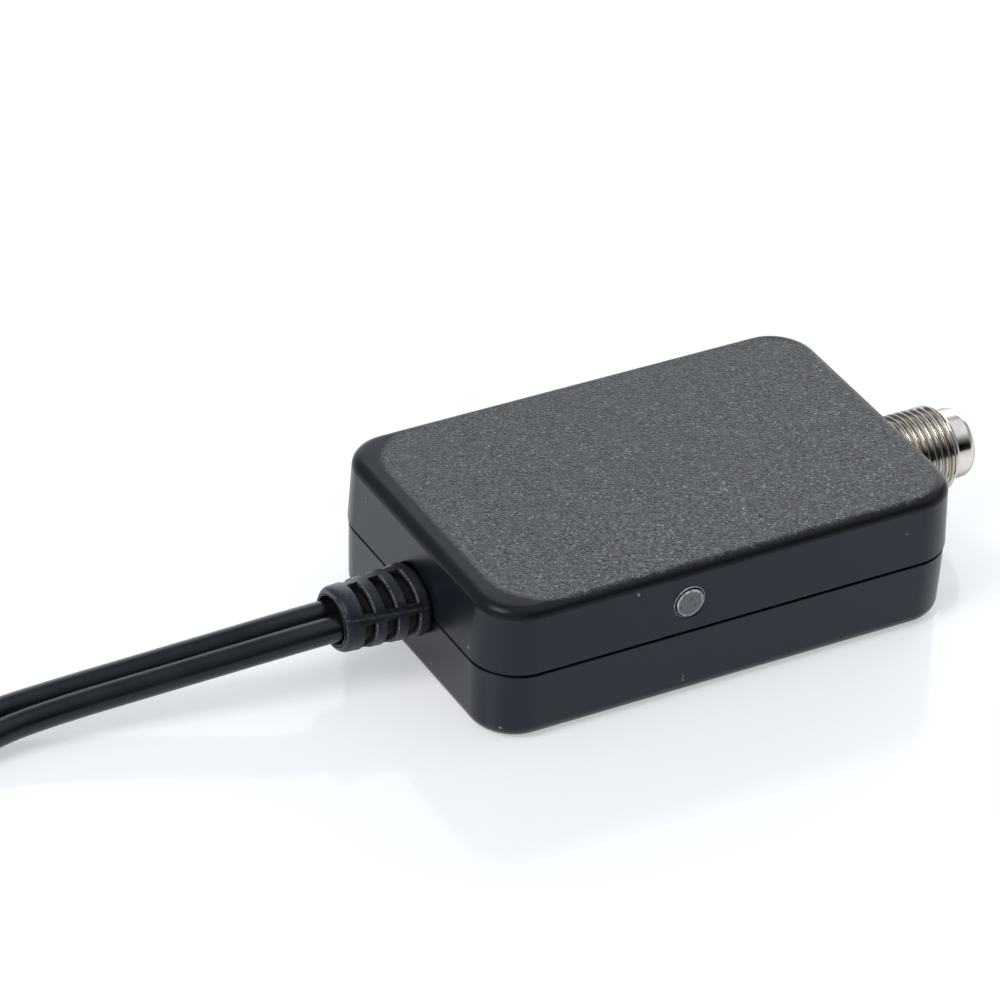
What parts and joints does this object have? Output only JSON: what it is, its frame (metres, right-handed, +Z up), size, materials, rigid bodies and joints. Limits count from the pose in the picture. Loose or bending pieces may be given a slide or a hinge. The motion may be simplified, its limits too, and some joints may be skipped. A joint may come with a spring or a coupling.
{
  "type": "tv signal amplifier",
  "caption": "Flat black aerial signal amplifier with a threaded aerial socket at one end, a slotted boot at the other, and a power lead and an aerial lead with their plugs.",
  "frame": {"origin": "middle of the housing's flat underside", "axes": "+X towards the aerial socket, -Y towards the power light, +Z up"},
  "size_m": [0.1751, 0.0553, 0.016],
  "materials": {
    "housing_top": "black moulded plastic, fine stipple on the top face, satin sides",
    "housing_base": "black moulded plastic, satin",
    "board": "green solder mask over glass-fibre board",
    "socket_metal": "nickel plate, slightly satin",
    "socket_insulator": "white moulded insulator",
    "spring_contact": "plated spring metal",
    "lens": "milky clear light lens",
    "lamp": "clear moulded lamp with bright leads",
    "chip": "black moulding with bright leads",
    "ferrite": "grey ferrite",
    "can": "bright drawn can",
    "ceramic": "tan ceramic with tinned ends",
    "resistor": "black glaze with tinned ends",
    "cord_jacket": "smooth soft black sheath",
    "boot": "black moulded boot, satin",
    "wire_red": "red wire cover",
    "wire_black": "black wire cover",
    "braid": "tinned woven braid",
    "dielectric": "white foamed core",
    "copper": "bare copper",
    "tie": "black covered wire tie",
    "plug_grip": "black moulded grip, satin",
    "plug_shell": "folded bright sheet",
    "plug_tongue": "white moulded tongue",
    "plug_contacts": "gold-coloured strips",
    "nut": "nickel plate with a knurled grip"
  },
  "bodies": {
    "housing": {"upper_shell": "housing_top", "lower_shell": "housing_base", "circuit_board": "board", "f_socket_barrel": "socket_metal", "f_socket_insulator": "socket_insulator", "f_socket_contact": "spring_contact", "led_lens": "lens", "indicator_led": "lamp", "amplifier_chip": "chip", "power_choke": "ferrite", "electrolytic_capacitor": "can", "filter_inductors": "ferrite", "chip_capacitors": "ceramic", "chip_resistors": "resistor", "strain_relief": "boot", "power_lead_inner": "cord_jacket", "coax_lead_inner": "cord_jacket", "power_wire_red": "wire_red", "power_wire_black": "wire_black", "coax_braid": "braid", "coax_dielectric": "dielectric", "coax_conductor": "copper", "power_lead_run": "cord_jacket", "power_lead_coil": "cord_jacket", "power_lead_tail": "cord_jacket", "coax_lead_run": "cord_jacket", "cord_tie": "tie", "usb_plug_grip": "plug_grip", "usb_plug_shell": "plug_shell", "usb_plug_tongue": "plug_tongue", "usb_plug_contacts": "plug_contacts", "f_plug_grip": "plug_grip", "f_plug_ferrule": "nut", "f_plug_insulator": "socket_insulator", "f_plug_pin": "copper"},
    "nut": {"coupling_nut": "nut"}
  },
  "joints": [
    {"name": "nut_spin", "type": "hinge", "parent": "housing", "child": "nut", "pos_m": [-0.083, 0.0315, 0.0057], "axis": [1, 0, 0], "continuous": true}
  ]
}
